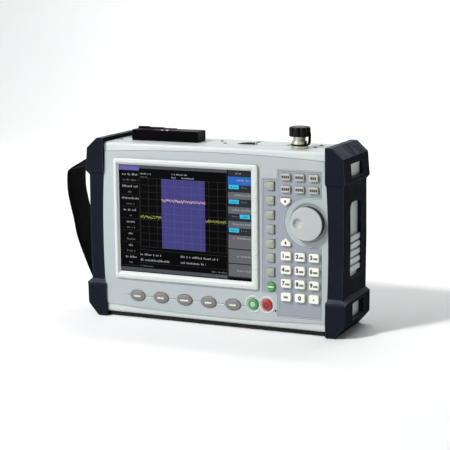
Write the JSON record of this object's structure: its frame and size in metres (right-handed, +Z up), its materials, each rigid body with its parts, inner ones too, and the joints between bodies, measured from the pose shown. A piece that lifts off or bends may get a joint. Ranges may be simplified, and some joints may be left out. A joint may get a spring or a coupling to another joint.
{
  "type": "vector network analyzer",
  "caption": "Portable network analyzer with a display, keypad, tuning knob and capped test port, in a light grey case between dark rubber guards with a hand strap.",
  "frame": {"origin": "on the resting surface, below the middle of the whole object's bounding box", "axes": "+X to the right along the front, +Y into the case from the front, +Z up"},
  "size_m": [0.3706, 0.0918, 0.2363],
  "materials": {
    "case_grey": "fine satin texture",
    "panel_grey": "fine satin texture",
    "frame_grey": "satin",
    "keypad_blue": "matt printed film",
    "guard_rubber": "matt moulded rubber",
    "strap_webbing": "woven nylon webbing",
    "softkey_green": "matt silicone",
    "key_cream": "matt",
    "key_warm_grey": "satin",
    "key_green": "satin",
    "key_red": "satin",
    "knob_grey": "satin",
    "screen_glass": "glossy cover glass over a lit display",
    "shield_metal": "plated sheet",
    "board_green": "solder mask",
    "base_dark": "matt",
    "bar_steel": "drawn",
    "nickel": "turned and nickel plated",
    "contact_gold": "gold plated",
    "battery_dark": "matt",
    "cap_black": "matt moulded"
  },
  "bodies": {
    "case": {"front_housing": "case_grey", "rear_cover": "case_grey", "front_panel": "panel_grey", "screen_frame": "frame_grey", "display_glass": "screen_glass", "lcd_module": "shield_metal", "keypad_panel": "keypad_blue", "key_board": "board_green", "knob_encoder": "shield_metal", "base_plate": "base_dark", "left_guard": "guard_rubber", "right_guard": "guard_rubber", "vent_grille": "case_grey", "hand_strap": "strap_webbing", "strap_bar_top": "bar_steel", "strap_bar_bottom": "bar_steel", "rf_connector": "nickel", "connector_contact": "contact_gold", "port_block": "shield_metal", "main_board": "board_green", "rf_module": "shield_metal", "battery": "battery_dark"},
    "soft_key_1": {"soft_key_1": "softkey_green"},
    "soft_key_2": {"soft_key_2": "softkey_green"},
    "soft_key_3": {"soft_key_3": "softkey_green"},
    "soft_key_4": {"soft_key_4": "softkey_green"},
    "soft_key_5": {"soft_key_5": "softkey_green"},
    "soft_key_6": {"soft_key_6": "softkey_green"},
    "soft_key_7": {"soft_key_7": "softkey_green"},
    "key_return": {"key_return": "key_green"},
    "function_key_1": {"function_key_1": "key_cream"},
    "function_key_2": {"function_key_2": "key_cream"},
    "function_key_3": {"function_key_3": "key_cream"},
    "function_key_4": {"function_key_4": "key_cream"},
    "function_key_5": {"function_key_5": "key_cream"},
    "function_key_6": {"function_key_6": "key_cream"},
    "arrow_key_1": {"arrow_key_1": "key_cream"},
    "arrow_key_2": {"arrow_key_2": "key_cream"},
    "number_key_1": {"number_key_1": "key_cream"},
    "number_key_2": {"number_key_2": "key_cream"},
    "number_key_3": {"number_key_3": "key_cream"},
    "number_key_4": {"number_key_4": "key_cream"},
    "number_key_5": {"number_key_5": "key_cream"},
    "number_key_6": {"number_key_6": "key_cream"},
    "number_key_7": {"number_key_7": "key_cream"},
    "number_key_8": {"number_key_8": "key_cream"},
    "number_key_9": {"number_key_9": "key_cream"},
    "number_key_10": {"number_key_10": "key_cream"},
    "number_key_11": {"number_key_11": "key_cream"},
    "number_key_12": {"number_key_12": "key_cream"},
    "oval_key_1": {"oval_key_1": "key_warm_grey"},
    "oval_key_2": {"oval_key_2": "key_warm_grey"},
    "oval_key_3": {"oval_key_3": "key_warm_grey"},
    "oval_key_4": {"oval_key_4": "key_warm_grey"},
    "oval_key_5": {"oval_key_5": "key_warm_grey"},
    "key_start": {"key_start": "key_green"},
    "key_power": {"key_power": "key_red"},
    "knob": {"knob": "knob_grey"},
    "dust_cap": {"dust_cap": "cap_black"},
    "port_cover": {"port_cover": "cap_black"}
  },
  "joints": [
    {"name": "soft_key_1_press", "type": "slide", "parent": "case", "child": "soft_key_1", "axis": [0, 1, 0], "range_m": [0, 0.0012], "stiffness_N_per_m": 200},
    {"name": "soft_key_2_press", "type": "slide", "parent": "case", "child": "soft_key_2", "axis": [0, 1, 0], "range_m": [0, 0.0012], "stiffness_N_per_m": 200},
    {"name": "soft_key_3_press", "type": "slide", "parent": "case", "child": "soft_key_3", "axis": [0, 1, 0], "range_m": [0, 0.0012], "stiffness_N_per_m": 200},
    {"name": "soft_key_4_press", "type": "slide", "parent": "case", "child": "soft_key_4", "axis": [0, 1, 0], "range_m": [0, 0.0012], "stiffness_N_per_m": 200},
    {"name": "soft_key_5_press", "type": "slide", "parent": "case", "child": "soft_key_5", "axis": [0, 1, 0], "range_m": [0, 0.0012], "stiffness_N_per_m": 200},
    {"name": "soft_key_6_press", "type": "slide", "parent": "case", "child": "soft_key_6", "axis": [0, 1, 0], "range_m": [0, 0.0012], "stiffness_N_per_m": 200},
    {"name": "soft_key_7_press", "type": "slide", "parent": "case", "child": "soft_key_7", "axis": [0, 1, 0], "range_m": [0, 0.0012], "stiffness_N_per_m": 200},
    {"name": "key_return_press", "type": "slide", "parent": "case", "child": "key_return", "axis": [0, 1, 0], "range_m": [0, 0.0012], "stiffness_N_per_m": 200},
    {"name": "function_key_1_press", "type": "slide", "parent": "case", "child": "function_key_1", "axis": [0, 1, 0], "range_m": [0, 0.0012], "stiffness_N_per_m": 200},
    {"name": "function_key_2_press", "type": "slide", "parent": "case", "child": "function_key_2", "axis": [0, 1, 0], "range_m": [0, 0.0012], "stiffness_N_per_m": 200},
    {"name": "function_key_3_press", "type": "slide", "parent": "case", "child": "function_key_3", "axis": [0, 1, 0], "range_m": [0, 0.0012], "stiffness_N_per_m": 200},
    {"name": "function_key_4_press", "type": "slide", "parent": "case", "child": "function_key_4", "axis": [0, 1, 0], "range_m": [0, 0.0012], "stiffness_N_per_m": 200},
    {"name": "function_key_5_press", "type": "slide", "parent": "case", "child": "function_key_5", "axis": [0, 1, 0], "range_m": [0, 0.0012], "stiffness_N_per_m": 200},
    {"name": "function_key_6_press", "type": "slide", "parent": "case", "child": "function_key_6", "axis": [0, 1, 0], "range_m": [0, 0.0012], "stiffness_N_per_m": 200},
    {"name": "arrow_key_1_press", "type": "slide", "parent": "case", "child": "arrow_key_1", "axis": [0, 1, 0], "range_m": [0, 0.0012], "stiffness_N_per_m": 200},
    {"name": "arrow_key_2_press", "type": "slide", "parent": "case", "child": "arrow_key_2", "axis": [0, 1, 0], "range_m": [0, 0.0012], "stiffness_N_per_m": 200},
    {"name": "number_key_1_press", "type": "slide", "parent": "case", "child": "number_key_1", "axis": [0, 1, 0], "range_m": [0, 0.0012], "stiffness_N_per_m": 200},
    {"name": "number_key_2_press", "type": "slide", "parent": "case", "child": "number_key_2", "axis": [0, 1, 0], "range_m": [0, 0.0012], "stiffness_N_per_m": 200},
    {"name": "number_key_3_press", "type": "slide", "parent": "case", "child": "number_key_3", "axis": [0, 1, 0], "range_m": [0, 0.0012], "stiffness_N_per_m": 200},
    {"name": "number_key_4_press", "type": "slide", "parent": "case", "child": "number_key_4", "axis": [0, 1, 0], "range_m": [0, 0.0012], "stiffness_N_per_m": 200},
    {"name": "number_key_5_press", "type": "slide", "parent": "case", "child": "number_key_5", "axis": [0, 1, 0], "range_m": [0, 0.0012], "stiffness_N_per_m": 200},
    {"name": "number_key_6_press", "type": "slide", "parent": "case", "child": "number_key_6", "axis": [0, 1, 0], "range_m": [0, 0.0012], "stiffness_N_per_m": 200},
    {"name": "number_key_7_press", "type": "slide", "parent": "case", "child": "number_key_7", "axis": [0, 1, 0], "range_m": [0, 0.0012], "stiffness_N_per_m": 200},
    {"name": "number_key_8_press", "type": "slide", "parent": "case", "child": "number_key_8", "axis": [0, 1, 0], "range_m": [0, 0.0012], "stiffness_N_per_m": 200},
    {"name": "number_key_9_press", "type": "slide", "parent": "case", "child": "number_key_9", "axis": [0, 1, 0], "range_m": [0, 0.0012], "stiffness_N_per_m": 200},
    {"name": "number_key_10_press", "type": "slide", "parent": "case", "child": "number_key_10", "axis": [0, 1, 0], "range_m": [0, 0.0012], "stiffness_N_per_m": 200},
    {"name": "number_key_11_press", "type": "slide", "parent": "case", "child": "number_key_11", "axis": [0, 1, 0], "range_m": [0, 0.0012], "stiffness_N_per_m": 200},
    {"name": "number_key_12_press", "type": "slide", "parent": "case", "child": "number_key_12", "axis": [0, 1, 0], "range_m": [0, 0.0012], "stiffness_N_per_m": 200},
    {"name": "oval_key_1_press", "type": "slide", "parent": "case", "child": "oval_key_1", "axis": [0, 1, 0], "range_m": [0, 0.0012], "stiffness_N_per_m": 200},
    {"name": "oval_key_2_press", "type": "slide", "parent": "case", "child": "oval_key_2", "axis": [0, 1, 0], "range_m": [0, 0.0012], "stiffness_N_per_m": 200},
    {"name": "oval_key_3_press", "type": "slide", "parent": "case", "child": "oval_key_3", "axis": [0, 1, 0], "range_m": [0, 0.0012], "stiffness_N_per_m": 200},
    {"name": "oval_key_4_press", "type": "slide", "parent": "case", "child": "oval_key_4", "axis": [0, 1, 0], "range_m": [0, 0.0012], "stiffness_N_per_m": 200},
    {"name": "oval_key_5_press", "type": "slide", "parent": "case", "child": "oval_key_5", "axis": [0, 1, 0], "range_m": [0, 0.0012], "stiffness_N_per_m": 200},
    {"name": "key_start_press", "type": "slide", "parent": "case", "child": "key_start", "axis": [0, 1, 0], "range_m": [0, 0.0012], "stiffness_N_per_m": 200},
    {"name": "key_power_press", "type": "slide", "parent": "case", "child": "key_power", "axis": [0, 1, 0], "range_m": [0, 0.0012], "stiffness_N_per_m": 200},
    {"name": "knob_turn", "type": "hinge", "parent": "case", "child": "knob", "pos_m": [0.1398, -0.0421, 0.1308], "axis": [0, 1, 0], "continuous": true},
    {"name": "dust_cap_pull", "type": "slide", "parent": "case", "child": "dust_cap", "axis": [0, 0, 1], "range_m": [0, 0.014]},
    {"name": "port_cover_open", "type": "hinge", "parent": "case", "child": "port_cover", "pos_m": [-0.0534, 0.0139, 0.2118], "axis": [-1, 0, 0], "range_deg": [0, 90]}
  ]
}
